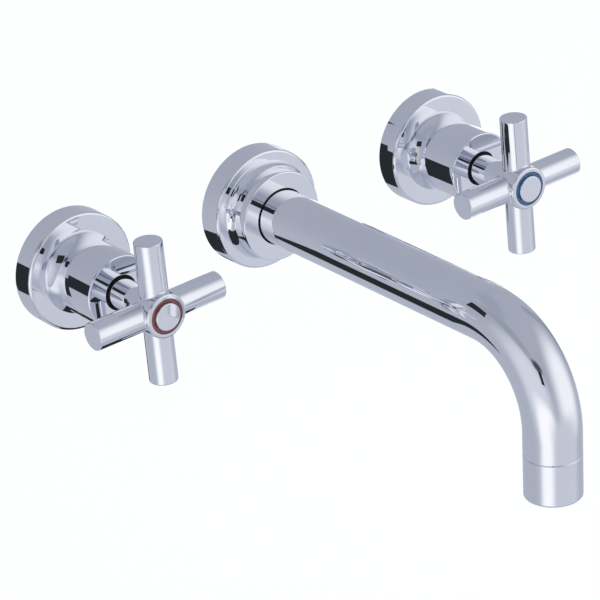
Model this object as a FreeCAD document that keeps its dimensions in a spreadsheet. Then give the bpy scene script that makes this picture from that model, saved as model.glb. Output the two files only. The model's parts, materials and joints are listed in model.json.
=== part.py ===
"""Wall faucet in three stations: a hot handle, a bent tube spout and a cold handle.

Lengths are in millimetres. The wall is the plane y = 0, the faucet stands out towards -y,
+x is to the right of someone facing it and +z is up. The origin is the middle of the
spout's wall shank, in the plane of the wall. A piece that stands out from the wall is
drawn about its own z axis, with z as its distance from the wall, and is then turned to
face the room.
"""
import FreeCAD, Part
import Sketcher
import math
import os
import re

Vector = FreeCAD.Vector

SIZES = [
    # the whole set
    ("handle_centres", 203.2),          # hot handle to cold handle, 8 inches
    ("handle_clocking", 3.3),           # how far each handle stands turned from plumb, in degrees
    ("shank_length", 15.0),             # threaded shank behind the wall
    ("shank_radius", 10.48),            # 1/2 inch pipe thread
    ("shank_lead", 1.2),                # bevel at a shank's end
    ("nut_flats", 24.0),                # wrench flats of valve body and spout shank
    ("nut_height", 4.0),
    ("thread_gap", 0.05),               # between a thread and the piece screwed on it
    ("slip_gap", 0.05),                 # between a shaft and its hole
    # handle flange
    ("flange_radius", 27.0),
    ("flange_front", 11.1),
    ("flange_edge", 0.9),
    ("flange_wall", 2.0),
    ("flange_plate", 2.5),
    ("flange_ledge", 1.5),              # ledge that the wall seal bears on
    ("seal_depth", 2.2),
    ("seal_width", 3.1),
    # sleeve round the valve
    ("sleeve_radius", 17.0),
    ("sleeve_front", 41.5),
    ("sleeve_edge", 0.7),
    ("sleeve_wall", 2.2),
    ("sleeve_cap", 3.0),
    ("sleeve_mouth", 8.1),
    ("sleeve_back", 5.0),
    ("sleeve_thread_end", 11.6),
    ("spigot_radius", 16.0),            # threaded tail that passes through the flange
    ("lip_radius", 18.8),               # foot of the flare
    ("lip_height", 0.9),
    ("lip_edge", 0.25),
    ("flare_length", 7.9),
    ("bush_bore", 7.05),
    ("bush_back", 37.3),
    ("bush_rim", 9.5),
    ("bush_recess", 0.4),
    # valve body
    ("body_radius", 12.5),
    ("body_front", 20.0),
    ("seat_depth", 2.0),                # bottom of the chamber
    ("inlet_radius", 4.0),
    ("passage_radius", 1.5),
    ("passage_circle", 7.2),
    ("passage_count", 4),
    # cartridge
    ("housing_radius", 9.0),
    ("housing_waist", 8.3),
    ("housing_thread_start", 12.0),
    ("housing_lift", 0.4),              # housing's tail above the bottom of the chamber
    ("housing_flats", 20.0),
    ("housing_nut_height", 5.0),
    ("housing_neck", 7.2),
    ("housing_front", 34.0),
    ("disc_radius", 6.8),
    ("disc_thickness", 2.5),
    ("seat_seal_height", 1.6),
    ("seat_seal_width", 1.4),
    ("port_radius", 1.5),
    ("port_circle", 2.5),
    ("port_count", 2),
    ("window_width", 5.0),
    ("key_width", 2.0),
    ("key_length", 9.0),
    ("key_depth", 1.0),
    ("stem_radius", 4.5),
    ("stem_flange_radius", 6.5),
    ("stem_flange_height", 1.4),
    ("stem_shoulder", 36.0),
    ("stem_end", 48.0),
    ("stem_square", 6.3),
    ("end_play", 0.1),                  # between the stem's flange and the housing
    ("first_ring_at", 15.0),
    ("ring_pitch", 3.5),
    ("ring_section", 0.55),             # section radius of the stem's O-rings
    ("groove_side", 0.1),               # play beside an O-ring in its groove
    ("housing_ring_section", 0.6),
    ("housing_ring_setback", 1.3),      # ring's middle behind the housing's hexagon
    ("clip_groove_radius", 3.6),
    ("clip_radius", 5.6),
    ("clip_thickness", 0.8),
    ("clip_lift", 0.2),
    ("clip_mouth", 2.4),
    ("tapping_radius", 2.0),            # thread for the handle screw
    ("tapping_depth", 10.0),
    # handle
    ("arm_radius", 6.35),
    ("arm_span", 66.0),
    ("arm_height", 67.0),               # arms' axis from the wall
    ("arm_edge", 0.5),
    ("arm_root", 0.8),                  # fillet between arm and hub
    ("hub_radius", 10.0),
    ("hub_front", 75.2),
    ("hub_edge", 0.9),
    ("hub_back", 59.0),
    ("neck_radius", 7.0),
    ("neck_back", 36.0),
    ("neck_front", 56.0),
    ("socket_play", 0.2),               # room beyond the stem's end
    ("handle_web", 4.8),                # metal between socket and screw head
    ("screw_pocket", 4.3),
    ("screw_hole", 2.2),
    ("screw_radius", 1.95),
    ("screw_length", 12.0),
    ("screw_head_radius", 3.9),
    ("screw_head_height", 3.2),
    ("screw_drive", 2.5),
    ("screw_drive_depth", 1.8),
    ("index_radius", 8.0),
    ("index_bore", 6.3),
    ("index_recess", 1.4),
    ("index_thickness", 1.2),
    ("button_radius", 6.2),
    ("button_proud", 1.2),              # button above the hub's front
    ("button_edge", 0.45),
    ("button_plug", 6.3),
    # spout flange and collar
    ("spout_flange_radius", 28.0),
    ("spout_flange_front", 11.8),
    ("spout_flange_edge", 0.8),
    ("collar_radius", 21.0),
    ("collar_front", 22.7),
    ("collar_edge", 0.6),
    ("collar_spigot", 19.0),
    ("collar_back", 6.0),
    ("collar_lip_radius", 23.1),
    ("collar_lip_height", 0.5),
    ("collar_flare_length", 4.0),
    ("collar_mouth_gap", 0.65),         # open ring round the tube, where the O-ring shows
    ("collar_ring_section", 0.7),
    ("collar_ring_setback", 1.5),
    ("set_screw_radius", 2.0),
    ("set_screw_at", 17.6),
    ("set_screw_length", 7.6),
    ("set_screw_drive", 2.0),
    ("set_screw_drive_depth", 2.0),
    # spout
    ("nipple_front", 20.0),
    ("nipple_wall", 2.83),
    ("spout_nut_height", 5.0),
    ("washer_thickness", 1.5),
    ("washer_inset", 1.8),              # washer's rim inside the tube's outer face
    ("adapter_length", 15.5),
    ("adapter_wall", 2.67),             # leaves the nipple a 3/8 inch pipe thread
    ("tube_radius", 12.7),
    ("tube_wall", 1.6),
    ("solder_gap", 0.05),
    ("reach", 205.0),                   # wall to the outlet's axis
    ("bend_radius", 41.2),
    ("tube_drop", 51.3),                # spout axis to the tube's cut end
    ("seam_bevel", 0.3),
    # aerator
    ("aerator_length", 19.6),
    ("aerator_edge", 1.2),
    ("aerator_neck", 7.0),
    ("aerator_wall", 1.25),             # wall of its neck, inside the tube
    ("aerator_ledge", 1.0),             # how far its lip reaches inwards
    ("aerator_lip_height", 1.6),
    ("aerator_washer_width", 4.0),
    ("aerator_washer_height", 1.5),
    ("restrictor_height", 2.2),
    ("restrictor_hole", 0.9),
    ("restrictor_circle", 5.0),
    ("restrictor_count", 6),
    ("insert_gap", 0.1),
    ("insert_wall", 1.6),
    ("insert_floor", 2.5),
    ("insert_floor_at", 13.7),          # floor's top below the restrictor
    ("insert_jet", 0.6),
    ("insert_jet_circle", 6.0),
    ("insert_jet_count", 12),
    ("screen_thickness", 0.8),
    ("screen_hole", 0.75),
    ("screen_rim", 1.9),                # from the lip in to the middles of the outer holes
]

TURN_TO_ROOM = FreeCAD.Rotation(Vector(1, 0, 0), 90)
SAME = 1e-4                             # two lengths closer than this are one
START, END, CENTRE = 1, 2, 3            # a sketch's names for the points of a line, arc or circle

doc = FreeCAD.newDocument("WallFaucet")
sizes = doc.addObject("Spreadsheet::Sheet", "sizes")


def fill_sheet():
    """One row per driving size: its name in column A, its value in column B."""
    for row, (name, number) in enumerate(SIZES, start=1):
        sizes.set(f"A{row}", name)
        sizes.set(f"B{row}", str(number))
        sizes.setAlias(f"B{row}", name)
    doc.recompute()


def bound(formula):
    """A formula on size names, written the way an expression reads the sheet."""
    return re.sub(r"\b([a-z][a-z_]+)\b(?!\()", r"sizes.\1", str(formula))


def size(formula):
    return float(sizes.evalExpression(bound(formula)))


def plane(body, role):
    return next(part for part in body.Origin.OriginFeatures if part.Role == role)


def new_body(label):
    body = doc.addObject("PartDesign::Body", label)
    body.Label = label
    return body


def new_sketch(body, name, role, height=None):
    """A sketch on one of the body's own planes, raised by a height along its normal."""
    sketch = body.newObject("Sketcher::SketchObject", f"{body.Label}_{name}")
    sketch.AttachmentSupport = (plane(body, role), [""])
    sketch.MapMode = "FlatFace"
    if height is not None:
        sketch.setExpression("AttachmentOffset.Base.z", bound(height))
    return sketch


def pin_point(sketch, geometry, end, across, along, label):
    """Hold a point of the sketch at two formulas from the origin."""
    for kind, formula in (("DistanceX", across), ("DistanceY", along)):
        name = f"{label}_{kind[-1].lower()}"
        index = sketch.addConstraint(Sketcher.Constraint(kind, -1, START, geometry, end, size(formula)))
        sketch.renameConstraint(index, name)
        sketch.setExpression(f"Constraints.{name}", bound(formula))


def set_radius(sketch, geometry, radius, label):
    index = sketch.addConstraint(Sketcher.Constraint("Radius", geometry, size(radius)))
    sketch.renameConstraint(index, label)
    sketch.setExpression(f"Constraints.{label}", bound(radius))


def arc_between(start, end, radius):
    """An arc from start to end that curves towards the left of that line."""
    chord = end - start
    middle = (start + end) * 0.5
    left = Vector(-chord.y, chord.x, 0).normalize()
    half = chord.Length / 2
    rise = radius - math.sqrt(radius ** 2 - half ** 2)
    return Part.Arc(start, middle + left * rise, end)


def outline(sketch, corners, bends=None):
    """A closed outline through corners given as (across, along) formulas.

    bends gives the radius of a corner's outgoing side where that side is an arc.
    """
    bends = bends or {}
    points = [Vector(size(across), size(along), 0) for across, along in corners]
    starts = []
    for number, point in enumerate(points):
        following = points[(number + 1) % len(points)]
        if number in bends:
            side = sketch.addGeometry(arc_between(point, following, size(bends[number])))
        else:
            side = sketch.addGeometry(Part.LineSegment(point, following))
        forward = sketch.getPoint(side, START).distanceToPoint(point) < SAME
        starts.append((side, START if forward else END))
    for number, (side, start) in enumerate(starts):
        next_side, next_start = starts[(number + 1) % len(starts)]
        end = START if start == END else END
        sketch.addConstraint(Sketcher.Constraint("Coincident", side, end, next_side, next_start))
        pin_point(sketch, side, start, *corners[number], f"corner{number}")
    for number, radius in bends.items():
        set_radius(sketch, starts[number][0], radius, f"bend{number}")


def circle(sketch, across, along, radius, label="circle"):
    geometry = sketch.addGeometry(Part.Circle(Vector(size(across), size(along), 0), Vector(0, 0, 1), size(radius)))
    pin_point(sketch, geometry, CENTRE, across, along, label)
    set_radius(sketch, geometry, radius, f"{label}_radius")


def rectangle(sketch, width, height, across="0", along="0"):
    """A rectangle centred on (across, along)."""
    left, right = f"{across} - ({width}) / 2", f"{across} + ({width}) / 2"
    low, high = f"{along} - ({height}) / 2", f"{along} + ({height}) / 2"
    outline(sketch, [(left, low), (right, low), (right, high), (left, high)])


def polygon(sketch, sides, flats):
    """A regular polygon about the origin, given its width across the flats."""
    corners = []
    for number in range(sides):
        turn = 360 / sides * (number + 0.5)
        reach = f"{flats} / (2 * cos({180 / sides}))"
        corners.append((f"{reach} * cos({turn})", f"{reach} * sin({turn})"))
    outline(sketch, corners)


def turned(label, corners, bends=None):
    """A body turned about its own z axis from an outline of (radius, height) corners."""
    body = new_body(label)
    sketch = new_sketch(body, "outline", "XZ_Plane")
    outline(sketch, corners, bends)
    feature = body.newObject("PartDesign::Revolution", f"{label}_turned")
    feature.Profile = sketch
    feature.ReferenceAxis = (sketch, ["V_Axis"])
    feature.Angle = 360
    doc.recompute()
    return body


def ring(label, inner, outer, low, high):
    return turned(label, [(inner, low), (outer, low), (outer, high), (inner, high)])


def padded(body, sketch, length, both_ways=False, backwards=False):
    feature = body.newObject("PartDesign::Pad", f"{sketch.Label}_pad")
    feature.Profile = sketch
    feature.setExpression("Length", bound(length))
    if both_ways:
        feature.SideType = "Symmetric"
    feature.Reversed = backwards
    doc.recompute()
    return feature


def removed(body, feature, before):
    """Recompute after a cut and make sure that it took material away."""
    doc.recompute()
    if not body.Shape.Volume < before - SAME:
        raise ValueError(f"{feature.Name} cuts nothing from {body.Label}")
    return feature


def pocketed(body, sketch, length, both_ways=False, forwards=False):
    before = body.Shape.Volume
    feature = body.newObject("PartDesign::Pocket", f"{sketch.Label}_pocket")
    feature.Profile = sketch
    feature.setExpression("Length", bound(length))
    if both_ways:
        feature.SideType = "Symmetric"
    feature.Reversed = forwards
    return removed(body, feature, before)


def grooved(body, name, corners):
    """Cut a groove turned about the body's z axis."""
    before = body.Shape.Volume
    sketch = new_sketch(body, name, "XZ_Plane")
    outline(sketch, corners)
    feature = body.newObject("PartDesign::Groove", f"{sketch.Label}_groove")
    feature.Profile = sketch
    feature.ReferenceAxis = (sketch, ["V_Axis"])
    feature.Angle = 360
    return removed(body, feature, before)


def around(body, feature, count):
    """Repeat a feature evenly about the z axis of its sketch."""
    pattern = body.newObject("PartDesign::PolarPattern", f"{feature.Name}_around")
    pattern.Originals = [feature]
    pattern.Axis = (feature.Profile[0], ["N_Axis"])
    pattern.Angle = 360
    pattern.setExpression("Occurrences", bound(count))
    body.Tip = pattern
    doc.recompute()
    return pattern


def rim_edges(body, rims):
    """Names of the circular edges about z with the given (radius, height) formulas."""
    names = []
    for radius, height in rims:
        wanted = (size(radius), size(height))
        for number, edge in enumerate(body.Shape.Edges, start=1):
            curve = edge.Curve
            if not isinstance(curve, Part.Circle):
                continue
            if math.hypot(curve.Center.x, curve.Center.y) > SAME:
                continue
            if abs(curve.Radius - wanted[0]) < SAME and abs(curve.Center.z - wanted[1]) < SAME:
                names.append(f"Edge{number}")
    return names


def rounded(body, edges, radius):
    return dressed(body, "PartDesign::Fillet", "Radius", edges, radius)


def bevelled(body, edges, width):
    return dressed(body, "PartDesign::Chamfer", "Size", edges, width)


def dressed(body, kind, field, edges, amount):
    if not edges:
        raise ValueError(f"no edges to dress on {body.Label}")
    base = body.Tip
    local = base.Shape
    if not local.isValid():
        raise ValueError(f"{body.Label} is broken before its edges are dressed")
    feature = body.newObject(kind, f"{base.Name}_{field.lower()}")
    feature.Base = (base, edges)
    feature.setExpression(field, bound(amount))
    doc.recompute()
    return feature


def face_room(body, side=0):
    """Turn a body to face the room, at the spout (0), the hot (-1) or the cold (1) handle."""
    clocking = size("handle_clocking") if side else 0
    turn = FreeCAD.Rotation(Vector(0, -1, 0), clocking)
    body.Placement = FreeCAD.Placement(Vector(0, 0, 0), turn * TURN_TO_ROOM)
    body.setExpression("Placement.Base.x", bound(f"{side} * handle_centres / 2"))
    return body


# ---------------------------------------------------------------- handle stations


def valve_body(name):
    """Brass barrel: shank behind the wall, hexagon on the wall, chamber in front."""
    body = turned(name, [
        ("inlet_radius", "-shank_length"),
        ("shank_radius", "-shank_length"),
        ("shank_radius", "0"),
        ("body_radius", "0"),
        ("body_radius", "body_front"),
        ("housing_radius + thread_gap", "body_front"),
        ("housing_radius + thread_gap", "seat_depth"),
        ("inlet_radius", "seat_depth"),
    ])
    bevelled(body, rim_edges(body, [("shank_radius", "-shank_length")]), "shank_lead")
    hexagon = new_sketch(body, "hexagon", "XY_Plane")
    polygon(hexagon, 6, "nut_flats")
    circle(hexagon, "0", "0", "body_radius - flange_wall", "inside")
    padded(body, hexagon, "nut_height")
    passage = new_sketch(body, "passage", "XY_Plane", "seat_depth")
    circle(passage, "passage_circle", "0", "passage_radius")
    around(body, pocketed(body, passage, "seat_depth + shank_length"), "passage_count")
    return body


def cartridge_housing(name):
    """Headwork: it holds the discs, screws into the valve body and guides the stem."""
    tail = "seat_depth + housing_lift"
    roof = f"{STEM_BASE} + stem_flange_height + end_play"
    body = turned(name, [
        ("disc_radius + slip_gap", tail),
        ("housing_waist", tail),
        ("housing_waist", "housing_thread_start"),
        ("housing_radius", "housing_thread_start"),
        ("housing_radius", "body_front"),
        ("housing_neck", "body_front"),
        ("housing_neck", "housing_front"),
        ("stem_radius + slip_gap", "housing_front"),
        ("stem_radius + slip_gap", roof),
        ("disc_radius + slip_gap", roof),
    ])
    hexagon = new_sketch(body, "hexagon", "XY_Plane", "body_front")
    polygon(hexagon, 6, "housing_flats")
    circle(hexagon, "0", "0", "(stem_radius + housing_neck) / 2", "inside")
    padded(body, hexagon, "housing_nut_height")
    middle = "body_front - housing_ring_setback"
    half = "housing_ring_section + groove_side"
    floor = "housing_radius - 2 * housing_ring_section"
    grooved(body, "ring_groove", [
        (floor, f"{middle} - ({half})"),
        ("body_radius", f"{middle} - ({half})"),
        ("body_radius", f"{middle} + {half}"),
        (floor, f"{middle} + {half}"),
    ])
    windows = new_sketch(body, "windows", "YZ_Plane")
    rectangle(windows, "window_width", "disc_thickness", "0", f"{MOVING_DISC_BACK} + disc_thickness / 2")
    pocketed(body, windows, "4 * housing_radius", both_ways=True)
    return body


def o_rings(name, middle_radius, section, heights):
    """Identical O-rings about the z axis, as one group of separate solids."""
    rings = []
    for number, height in enumerate(heights):
        torus = doc.addObject("Part::Torus", f"{name}_{number}")
        torus.setExpression("Radius1", bound(middle_radius))
        torus.setExpression("Radius2", bound(section))
        torus.setExpression("Placement.Base.z", bound(height))
        rings.append(torus)
    group = doc.addObject("Part::Compound", name)
    group.Links = rings
    group.Label = name
    doc.recompute()
    return group


def fixed_disc(name):
    """Ceramic disc with two round ports."""
    body = ring(name, "0", "disc_radius", FIXED_DISC_BACK, MOVING_DISC_BACK)
    port = new_sketch(body, "port", "XY_Plane", MOVING_DISC_BACK)
    circle(port, "port_circle", "0", "port_radius")
    around(body, pocketed(body, port, "disc_thickness"), "port_count")
    return body


def moving_disc(name):
    """Ceramic disc with two notches, a quarter turn from the ports when it is closed."""
    body = ring(name, "0", "disc_radius", MOVING_DISC_BACK, STEM_BASE)
    notch = new_sketch(body, "notch", "XY_Plane", STEM_BASE)
    rectangle(notch, "2 * port_radius", "disc_radius", "0", "disc_radius / 2 + port_circle - port_radius")
    around(body, pocketed(body, notch, "disc_thickness"), "port_count")
    slot = new_sketch(body, "key_slot", "XY_Plane", STEM_BASE)
    rectangle(slot, "key_length + 2 * slip_gap", "key_width + 2 * slip_gap")
    pocketed(body, slot, "key_depth + slip_gap")
    return body


def stem(name):
    """Spindle: drive key and flange on the discs, two seal grooves, a square end."""
    body = turned(name, [
        ("0", STEM_BASE),
        ("stem_flange_radius", STEM_BASE),
        ("stem_flange_radius", f"{STEM_BASE} + stem_flange_height"),
        ("stem_radius", f"{STEM_BASE} + stem_flange_height"),
        ("stem_radius", "stem_shoulder"),
        ("0", "stem_shoulder"),
    ])
    key = new_sketch(body, "key", "XY_Plane", STEM_BASE)
    rectangle(key, "key_length", "key_width")
    padded(body, key, "key_depth", backwards=True)
    square = new_sketch(body, "square", "XY_Plane", "stem_shoulder")
    rectangle(square, "stem_square", "stem_square")
    padded(body, square, "stem_end - stem_shoulder")
    half = "ring_section + groove_side"
    for number, middle in enumerate(STEM_RING_HEIGHTS):
        grooved(body, f"ring_groove{number}", [
            ("stem_radius - 2 * ring_section", f"{middle} - ({half})"),
            ("2 * stem_radius", f"{middle} - ({half})"),
            ("2 * stem_radius", f"{middle} + {half}"),
            ("stem_radius - 2 * ring_section", f"{middle} + {half}"),
        ])
    grooved(body, "clip_groove", [
        ("clip_groove_radius", CLIP_BACK),
        ("2 * stem_radius", CLIP_BACK),
        ("2 * stem_radius", f"{CLIP_BACK} + clip_thickness"),
        ("clip_groove_radius", f"{CLIP_BACK} + clip_thickness"),
    ])
    tapping = new_sketch(body, "tapping", "XY_Plane", "stem_end")
    circle(tapping, "0", "0", "tapping_radius")
    pocketed(body, tapping, "tapping_depth")
    return body


def stem_clip(name):
    """Open spring clip in the stem's outer groove."""
    body = ring(name, "clip_groove_radius", "clip_radius", CLIP_BACK, f"{CLIP_BACK} + clip_thickness")
    mouth = new_sketch(body, "mouth", "XY_Plane", f"{CLIP_BACK} + clip_thickness")
    rectangle(mouth, "2 * clip_groove_radius - clip_mouth / 2", "clip_radius", "0", "-clip_radius / 2 - clip_mouth / 2")
    pocketed(body, mouth, "clip_thickness")
    return body


def hollow_flange(name, radius, front, edge, hole):
    """Wall flange: a turned shell with a ledge for its seal and a hole for what passes through."""
    inside = f"{radius} - flange_wall"
    body = turned(name, [
        (inside, "0"),
        (radius, "0"),
        (radius, front),
        (hole, front),
        (hole, f"{front} - flange_plate"),
        (f"{inside} - flange_ledge", f"{front} - flange_plate"),
        (f"{inside} - flange_ledge", "seal_depth"),
        (inside, "seal_depth"),
    ])
    rounded(body, rim_edges(body, [(radius, front)]), edge)
    return body


def wall_seal(name, radius):
    outer = f"{radius} - flange_wall - slip_gap"
    return ring(name, f"{outer} - seal_width", outer, "0", "seal_depth")


def sleeve(name):
    """Cover screwed on the valve body; its flared foot clamps the flange to the wall."""
    flare = "(flare_length ^ 2 + (lip_radius - sleeve_radius) ^ 2) / (2 * (lip_radius - sleeve_radius))"
    lip = "flange_front + lip_height"
    inside = "sleeve_radius - sleeve_wall"
    body = turned(name, [
        ("body_radius + thread_gap", "sleeve_back"),
        ("spigot_radius", "sleeve_back"),
        ("spigot_radius", "flange_front"),
        ("lip_radius", "flange_front"),
        ("lip_radius", lip),
        ("sleeve_radius", f"{lip} + flare_length"),
        ("sleeve_radius", "sleeve_front"),
        ("sleeve_mouth", "sleeve_front"),
        ("sleeve_mouth", "sleeve_front - sleeve_cap"),
        (inside, "sleeve_front - sleeve_cap"),
        (inside, "sleeve_thread_end"),
        ("body_radius + thread_gap", "sleeve_thread_end"),
    ], bends={4: flare})
    rounded(body, rim_edges(body, [("sleeve_radius", "sleeve_front")]), "sleeve_edge")
    rounded(body, rim_edges(body, [("lip_radius", lip)]), "lip_edge")
    return body


def sleeve_bush(name):
    """Black bush in the sleeve's mouth, which the handle's neck turns in."""
    outside = "sleeve_mouth - slip_gap"
    return turned(name, [
        ("bush_bore", "bush_back"),
        ("bush_rim", "bush_back"),
        ("bush_rim", "sleeve_front - sleeve_cap"),
        (outside, "sleeve_front - sleeve_cap"),
        (outside, "sleeve_front - bush_recess"),
        ("bush_bore", "sleeve_front - bush_recess"),
    ])


def hub_root_edges(body):
    """Names of the edges where the arms meet the hub's side."""
    names = []
    hub, low, high = size("hub_radius"), size("hub_back"), size("hub_front")
    for number, edge in enumerate(body.Shape.Edges, start=1):
        points = edge.discretize(7)
        on_hub = all(abs(math.hypot(point.x, point.y) - hub) < 10 * SAME for point in points)
        inside = all(low + SAME < point.z < high - SAME for point in points)
        if on_hub and inside and edge.BoundBox.ZLength > SAME:
            names.append(f"Edge{number}")
    return names


def arm_end_edges(body):
    """Names of the round edges at the arms' tips."""
    names = []
    for number, edge in enumerate(body.Shape.Edges, start=1):
        if not isinstance(edge.Curve, Part.Circle):
            continue
        out = math.hypot(edge.Curve.Center.x, edge.Curve.Center.y)
        if abs(out - size("arm_span / 2")) < SAME:
            names.append(f"Edge{number}")
    return names


def cross_handle(name):
    """Handle cast in one piece: neck, hub and four round arms."""
    body = turned(name, [
        ("0", "neck_back"),
        ("neck_radius", "neck_back"),
        ("neck_radius", "neck_front"),
        ("hub_radius", "hub_back"),
        ("hub_radius", "hub_front"),
        ("0", "hub_front"),
    ])
    for role in ("XZ_Plane", "YZ_Plane"):
        arms = new_sketch(body, f"arms_{role[:2].lower()}", role)
        circle(arms, "0", "arm_height", "arm_radius")
        padded(body, arms, "arm_span", both_ways=True)
    rounded(body, hub_root_edges(body), "arm_root")
    rounded(body, arm_end_edges(body), "arm_edge")
    floor = "hub_front - index_recess"
    web_front = "stem_end + socket_play + handle_web"
    grooved(body, "bores", [
        ("0", "stem_end + socket_play"),
        ("screw_hole", "stem_end + socket_play"),
        ("screw_hole", web_front),
        ("screw_pocket", web_front),
        ("screw_pocket", floor),
        ("index_radius + slip_gap", floor),
        ("index_radius + slip_gap", "hub_front + index_recess"),
        ("0", "hub_front + index_recess"),
    ])
    socket = new_sketch(body, "socket", "XY_Plane", "stem_end + socket_play")
    rectangle(socket, "stem_square + 2 * slip_gap", "stem_square + 2 * slip_gap")
    pocketed(body, socket, "stem_end + socket_play - neck_back")
    rounded(body, rim_edges(body, [("hub_radius", "hub_front")]), "hub_edge")
    return body


def handle_screw(name):
    """Pan head screw from the hub's pocket into the stem."""
    seat = "stem_end + socket_play + handle_web"
    body = turned(name, [
        ("0", f"{seat} - screw_length"),
        ("screw_radius", f"{seat} - screw_length"),
        ("screw_radius", seat),
        ("screw_head_radius", seat),
        ("screw_head_radius", f"{seat} + screw_head_height"),
        ("0", f"{seat} + screw_head_height"),
    ])
    drive = new_sketch(body, "drive", "XY_Plane", f"{seat} + screw_head_height")
    polygon(drive, 6, "screw_drive")
    pocketed(body, drive, "screw_drive_depth")
    return body


def index_ring(name):
    floor = "hub_front - index_recess"
    return ring(name, "index_bore", "index_radius", floor, f"{floor} + index_thickness")


def index_button(name):
    """Plain button whose plug snaps into the screw pocket."""
    floor = "hub_front - index_recess"
    body = turned(name, [
        ("0", f"{floor} - button_plug"),
        ("screw_pocket - slip_gap", f"{floor} - button_plug"),
        ("screw_pocket - slip_gap", floor),
        ("button_radius", floor),
        ("button_radius", "hub_front + button_proud"),
        ("0", "hub_front + button_proud"),
    ])
    rounded(body, rim_edges(body, [("button_radius", "hub_front + button_proud")]), "button_edge")
    return body


# heights from the wall that several cartridge pieces share
FIXED_DISC_BACK = "seat_depth + seat_seal_height"
MOVING_DISC_BACK = f"{FIXED_DISC_BACK} + disc_thickness"
STEM_BASE = f"{MOVING_DISC_BACK} + disc_thickness"
CLIP_BACK = "housing_front + clip_lift"
STEM_RING_HEIGHTS = ["first_ring_at", "first_ring_at + ring_pitch"]


def handle_station(prefix, side):
    """Every piece of one handle station, from the wall outwards."""
    seal_bore = "inlet_radius + slip_gap"
    ring_middle = "body_front - housing_ring_setback"
    pieces = [
        valve_body(f"{prefix}_valve_body"),
        ring(f"{prefix}_seat_seal", seal_bore, f"{seal_bore} + seat_seal_width", "seat_depth", FIXED_DISC_BACK),
        fixed_disc(f"{prefix}_fixed_disc"),
        moving_disc(f"{prefix}_moving_disc"),
        cartridge_housing(f"{prefix}_cartridge_housing"),
        o_rings(f"{prefix}_housing_o_ring", "housing_radius - housing_ring_section",
                "housing_ring_section", [ring_middle]),
        stem(f"{prefix}_stem"),
        o_rings(f"{prefix}_stem_o_rings", "stem_radius - ring_section", "ring_section", STEM_RING_HEIGHTS),
        stem_clip(f"{prefix}_stem_clip"),
        hollow_flange(f"{prefix}_flange", "flange_radius", "flange_front", "flange_edge",
                      "spigot_radius + thread_gap"),
        wall_seal(f"{prefix}_wall_seal", "flange_radius"),
        sleeve(f"{prefix}_sleeve"),
        sleeve_bush(f"{prefix}_sleeve_bush"),
        cross_handle(f"{prefix}_cross_handle"),
        handle_screw(f"{prefix}_handle_screw"),
        index_ring(f"{prefix}_index_ring"),
        index_button(f"{prefix}_index_button"),
    ]
    return [face_room(piece, side) for piece in pieces]


# ---------------------------------------------------------------- spout station


def spout_shank(name):
    """Brass nipple: shank behind the wall, hexagon on the wall, smaller thread in front."""
    body = turned(name, [
        (NIPPLE_BORE, "-shank_length"),
        ("shank_radius", "-shank_length"),
        ("shank_radius", "0"),
        (NIPPLE_RADIUS, "0"),
        (NIPPLE_RADIUS, "nipple_front"),
        (NIPPLE_BORE, "nipple_front"),
    ])
    bevelled(body, rim_edges(body, [("shank_radius", "-shank_length")]), "shank_lead")
    hexagon = new_sketch(body, "hexagon", "XY_Plane")
    polygon(hexagon, 6, "nut_flats")
    circle(hexagon, "0", "0", f"({NIPPLE_BORE} + {NIPPLE_RADIUS}) / 2", "inside")
    padded(body, hexagon, "spout_nut_height")
    return body


def spout_collar(name):
    """Collar on the spout: it clamps the flange, holds the O-ring and takes the set screw."""
    step = "(collar_lip_radius - collar_radius)"
    flare = f"(collar_flare_length ^ 2 + {step} ^ 2) / (2 * {step})"
    lip = "spout_flange_front + collar_lip_height"
    middle = "collar_front - collar_ring_setback"
    half = "collar_ring_section + groove_side"
    body = turned(name, [
        ("tube_radius + slip_gap", "collar_back"),
        ("collar_spigot", "collar_back"),
        ("collar_spigot", "spout_flange_front"),
        ("collar_lip_radius", "spout_flange_front"),
        ("collar_lip_radius", lip),
        ("collar_radius", f"{lip} + collar_flare_length"),
        ("collar_radius", "collar_front"),
        ("tube_radius + collar_mouth_gap", "collar_front"),
        ("tube_radius + collar_mouth_gap", f"{middle} + {half}"),
        (f"{COLLAR_RING_RADIUS} + {half}", f"{middle} + {half}"),
        (f"{COLLAR_RING_RADIUS} + {half}", f"{middle} - ({half})"),
        ("tube_radius + slip_gap", f"{middle} - ({half})"),
    ], bends={4: flare})
    rounded(body, rim_edges(body, [("collar_radius", "collar_front")]), "collar_edge")
    hole = new_sketch(body, "screw_hole", "XZ_Plane")
    circle(hole, "0", "set_screw_at", "set_screw_radius + thread_gap")
    pocketed(body, hole, "2 * collar_radius", forwards=True)
    return body


def collar_set_screw(name):
    """Headless screw from under the collar against the spout tube."""
    inner = "tube_radius + slip_gap"
    body = turned(name, [
        ("0", inner),
        ("set_screw_radius", inner),
        ("set_screw_radius", f"{inner} + set_screw_length"),
        ("0", f"{inner} + set_screw_length"),
    ])
    drive = new_sketch(body, "drive", "XY_Plane", f"{inner} + set_screw_length")
    polygon(drive, 6, "set_screw_drive")
    pocketed(body, drive, "set_screw_drive_depth")
    body.Placement = FreeCAD.Placement(Vector(0, 0, 0), FreeCAD.Rotation(Vector(1, 0, 0), 180))
    body.setExpression("Placement.Base.y", bound("-set_screw_at"))
    return body


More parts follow.
